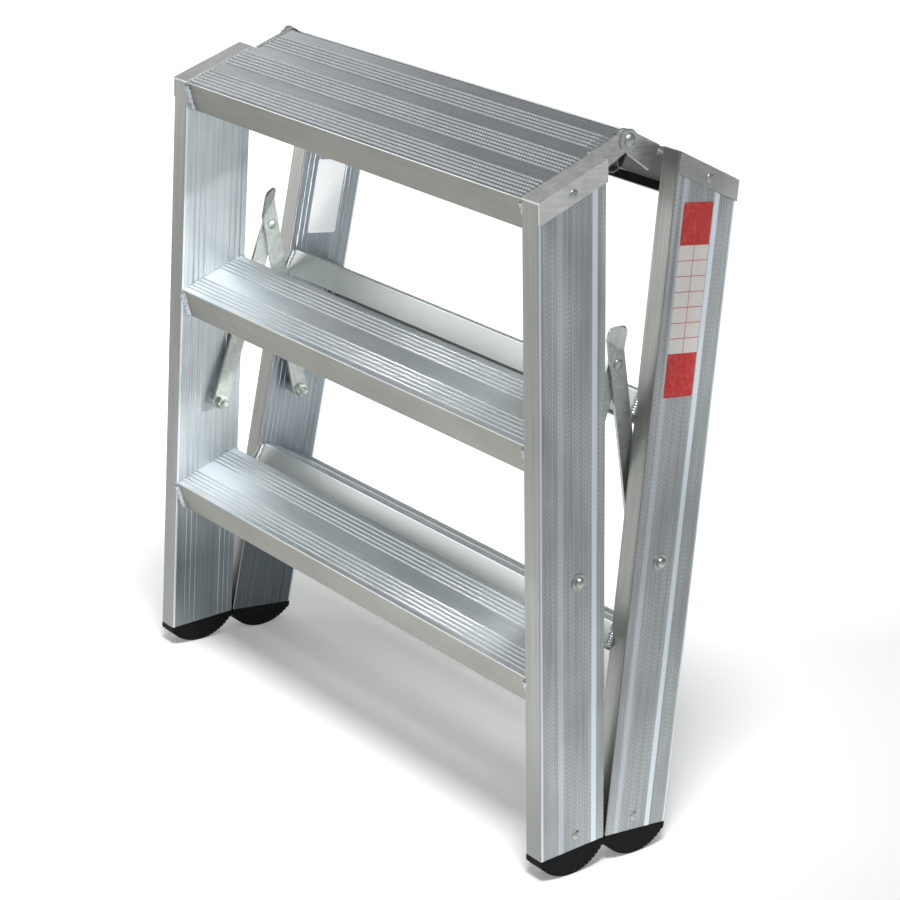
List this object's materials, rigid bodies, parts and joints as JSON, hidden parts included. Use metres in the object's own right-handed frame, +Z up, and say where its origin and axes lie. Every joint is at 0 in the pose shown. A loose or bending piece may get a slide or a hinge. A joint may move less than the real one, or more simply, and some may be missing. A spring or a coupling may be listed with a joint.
{
  "type": "double-sided step ladder",
  "caption": "Low folding step ladder with ribbed treads on both sides, a split platform hinged at the ridge, fluted box stiles and jointed spreader links.",
  "frame": {"origin": "on the floor, below the middle of the ridge hinge, with the ladder nearly folded", "axes": "+X along the steps, -Y to the front frame, +Z up"},
  "size_m": [0.6602, 0.2498, 0.714],
  "materials": {
    "mill_aluminium": "extruded, mill finish, satin",
    "zinc_steel": "zinc plated",
    "black_rubber": "matt, moulded"
  },
  "bodies": {
    "front_frame": {"front_stile_right": "mill_aluminium", "front_stile_left": "mill_aluminium", "front_cap_right": "mill_aluminium", "front_cap_left": "mill_aluminium", "front_foot_right": "black_rubber", "front_foot_left": "black_rubber", "front_platform": "mill_aluminium", "front_middle_step": "mill_aluminium", "front_bottom_step": "mill_aluminium", "front_hinge_lug_right": "mill_aluminium", "front_hinge_lug_left": "mill_aluminium", "front_hinge_bolt": "zinc_steel", "front_cap_rivets": "mill_aluminium", "front_foot_rivets": "mill_aluminium", "front_pivot_washers": "zinc_steel", "front_pivot_bolts": "zinc_steel", "front_pivot_bushes": "zinc_steel", "front_pivot_nuts": "zinc_steel"},
    "rear_frame": {"rear_stile_left": "mill_aluminium", "rear_stile_right": "mill_aluminium", "rear_cap_left": "mill_aluminium", "rear_cap_right": "mill_aluminium", "rear_foot_left": "black_rubber", "rear_foot_right": "black_rubber", "rear_platform": "mill_aluminium", "rear_middle_step": "mill_aluminium", "rear_bottom_step": "mill_aluminium", "rear_hinge_lug_left": "mill_aluminium", "rear_hinge_lug_right": "mill_aluminium", "rear_hinge_bolt": "zinc_steel", "rear_cap_rivets": "mill_aluminium", "rear_foot_rivets": "mill_aluminium", "rear_pivot_washers": "zinc_steel", "rear_pivot_bolts": "zinc_steel", "rear_pivot_bushes": "zinc_steel", "rear_pivot_nuts": "zinc_steel"},
    "front_right_spreader": {"front_link_right": "zinc_steel", "front_elbow_rivet_right": "zinc_steel"},
    "front_left_spreader": {"front_link_left": "zinc_steel", "front_elbow_rivet_left": "zinc_steel"},
    "rear_right_spreader": {"rear_link_right": "zinc_steel", "rear_elbow_rivet_right": "zinc_steel"},
    "rear_left_spreader": {"rear_link_left": "zinc_steel", "rear_elbow_rivet_left": "zinc_steel"}
  },
  "joints": [
    {"name": "fold", "type": "hinge", "parent": "front_frame", "child": "rear_frame", "pos_m": [0, 0, 0.70353], "axis": [1, 0, 0], "range_deg": [0, 45.14]},
    {"name": "front_right_spreader_pivot", "type": "hinge", "parent": "front_frame", "child": "front_right_spreader", "pos_m": [0.27381, -0.05255, 0.29993], "axis": [1, 0, 0], "range_deg": [-52.96, 0]},
    {"name": "front_left_spreader_pivot", "type": "hinge", "parent": "front_frame", "child": "front_left_spreader", "pos_m": [-0.27721, -0.05255, 0.29993], "axis": [1, 0, 0], "range_deg": [-52.96, 0]},
    {"name": "rear_right_spreader_pivot", "type": "hinge", "parent": "rear_frame", "child": "rear_right_spreader", "pos_m": [0.27721, 0.05255, 0.29993], "axis": [1, 0, 0], "range_deg": [0, 52.96]},
    {"name": "rear_left_spreader_pivot", "type": "hinge", "parent": "rear_frame", "child": "rear_left_spreader", "pos_m": [-0.27381, 0.05255, 0.29993], "axis": [1, 0, 0], "range_deg": [0, 52.96]}
  ],
  "couplings": [
    {"joint": "front_right_spreader_pivot", "follows": "fold", "ratio": -1.1622},
    {"joint": "front_left_spreader_pivot", "follows": "fold", "ratio": -1.1622},
    {"joint": "rear_right_spreader_pivot", "follows": "fold", "ratio": 1.1622},
    {"joint": "rear_left_spreader_pivot", "follows": "fold", "ratio": 1.1622}
  ]
}
